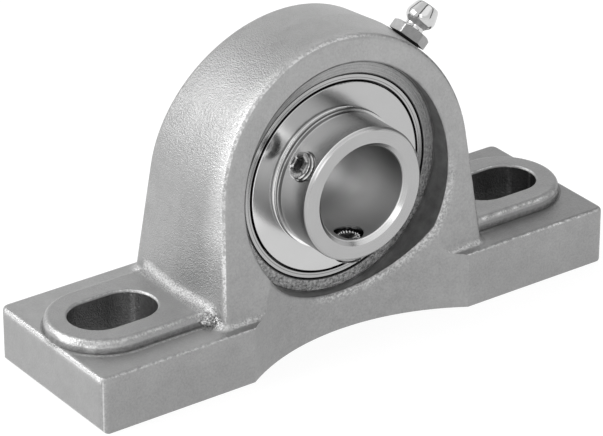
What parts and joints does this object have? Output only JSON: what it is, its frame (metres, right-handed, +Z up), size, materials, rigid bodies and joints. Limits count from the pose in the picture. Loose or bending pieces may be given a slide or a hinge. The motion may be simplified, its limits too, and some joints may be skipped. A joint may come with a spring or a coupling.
{
  "type": "pillow block bearing unit",
  "caption": "Cast foot-mounted housing with slotted feet, carrying a self-aligning ball bearing insert with a set-screw collar and an angled grease nipple.",
  "frame": {"origin": "bearing centre: where the shaft axis crosses the middle plane of the ball races, 33.3 mm above the underside of the base", "axes": "+X along the base from slot to slot, towards the grease nipple; +Z up from the base; +Y along the shaft, away from the collar with the set screws"},
  "size_m": [0.124, 0.037, 0.0644],
  "materials": {
    "cast_stainless": "blasted investment casting, matt",
    "ring_steel": "ground and turned stainless steel",
    "slinger_steel": "bright stainless sheet",
    "screw_steel": "turned stainless screw steel",
    "nipple_steel": "turned stainless steel",
    "spring_steel": "drawn spring wire",
    "washer_steel": "pressed stainless sheet",
    "seal_rubber": "black nitrile rubber",
    "cage_steel": "pressed stainless sheet",
    "ball_steel": "lapped steel balls"
  },
  "bodies": {
    "housing": {"housing": "cast_stainless", "grease_nipple_body": "nipple_steel", "nipple_spring": "spring_steel"},
    "check_ball": {"nipple_ball": "ball_steel"},
    "insert": {"outer_ring": "ring_steel", "seal_washer_front": "washer_steel", "seal_lip_front": "seal_rubber", "seal_washer_back": "washer_steel", "seal_lip_back": "seal_rubber"},
    "shaft_ring": {"inner_ring": "ring_steel", "slinger_front": "slinger_steel", "slinger_back": "slinger_steel"},
    "screw_1": {"set_screw_1": "screw_steel"},
    "screw_2": {"set_screw_2": "screw_steel"},
    "cage": {"cage_front": "cage_steel", "cage_back": "cage_steel", "cage_rivets": "cage_steel"},
    "rolling_ball_1": {"ball_1": "ball_steel"},
    "rolling_ball_2": {"ball_2": "ball_steel"},
    "rolling_ball_3": {"ball_3": "ball_steel"},
    "rolling_ball_4": {"ball_4": "ball_steel"},
    "rolling_ball_5": {"ball_5": "ball_steel"},
    "rolling_ball_6": {"ball_6": "ball_steel"},
    "rolling_ball_7": {"ball_7": "ball_steel"},
    "rolling_ball_8": {"ball_8": "ball_steel"}
  },
  "joints": [
    {"name": "nipple_check", "type": "slide", "parent": "housing", "child": "check_ball", "axis": [-0.7071, 0, -0.7071], "range_m": [0, 0.0008], "stiffness_N_per_m": 150, "springref_m": -0.002, "deforming": ["nipple_spring"]},
    {"name": "insert_tilt", "type": "hinge", "parent": "housing", "child": "insert", "pos_m": [0, 0, 0], "axis": [1, 0, 0], "range_deg": [-2, 2]},
    {"name": "shaft_spin", "type": "hinge", "parent": "insert", "child": "shaft_ring", "pos_m": [0, 0, 0], "axis": [0, 1, 0], "continuous": true},
    {"name": "screw_1_travel", "type": "slide", "parent": "shaft_ring", "child": "screw_1", "axis": [-0.829, 0, 0.5592], "range_m": [-0.0002, 0.003]},
    {"name": "screw_2_travel", "type": "slide", "parent": "shaft_ring", "child": "screw_2", "axis": [-0.0698, 0, -0.9976], "range_m": [-0.0002, 0.003]},
    {"name": "cage_spin", "type": "hinge", "parent": "insert", "child": "cage", "pos_m": [0, 0, 0], "axis": [0, 1, 0], "continuous": true},
    {"name": "ball_1_roll", "type": "hinge", "parent": "cage", "child": "rolling_ball_1", "pos_m": [0.01675, 0, 0], "axis": [0, 1, 0], "continuous": true},
    {"name": "ball_2_roll", "type": "hinge", "parent": "cage", "child": "rolling_ball_2", "pos_m": [0.01184, 0, 0.01184], "axis": [0, 1, 0], "continuous": true},
    {"name": "ball_3_roll", "type": "hinge", "parent": "cage", "child": "rolling_ball_3", "pos_m": [0, 0, 0.01675], "axis": [0, 1, 0], "continuous": true},
    {"name": "ball_4_roll", "type": "hinge", "parent": "cage", "child": "rolling_ball_4", "pos_m": [-0.01184, 0, 0.01184], "axis": [0, 1, 0], "continuous": true},
    {"name": "ball_5_roll", "type": "hinge", "parent": "cage", "child": "rolling_ball_5", "pos_m": [-0.01675, 0, 0], "axis": [0, 1, 0], "continuous": true},
    {"name": "ball_6_roll", "type": "hinge", "parent": "cage", "child": "rolling_ball_6", "pos_m": [-0.01184, 0, -0.01184], "axis": [0, 1, 0], "continuous": true},
    {"name": "ball_7_roll", "type": "hinge", "parent": "cage", "child": "rolling_ball_7", "pos_m": [0, 0, -0.01675], "axis": [0, 1, 0], "continuous": true},
    {"name": "ball_8_roll", "type": "hinge", "parent": "cage", "child": "rolling_ball_8", "pos_m": [0.01184, 0, -0.01184], "axis": [0, 1, 0], "continuous": true}
  ],
  "couplings": [
    {"joint": "cage_spin", "follows": "shaft_spin", "ratio": 0.38152},
    {"joint": "ball_1_roll", "follows": "shaft_spin", "ratio": -1.9916},
    {"joint": "ball_2_roll", "follows": "shaft_spin", "ratio": -1.9916},
    {"joint": "ball_3_roll", "follows": "shaft_spin", "ratio": -1.9916},
    {"joint": "ball_4_roll", "follows": "shaft_spin", "ratio": -1.9916},
    {"joint": "ball_5_roll", "follows": "shaft_spin", "ratio": -1.9916},
    {"joint": "ball_6_roll", "follows": "shaft_spin", "ratio": -1.9916},
    {"joint": "ball_7_roll", "follows": "shaft_spin", "ratio": -1.9916},
    {"joint": "ball_8_roll", "follows": "shaft_spin", "ratio": -1.9916}
  ]
}
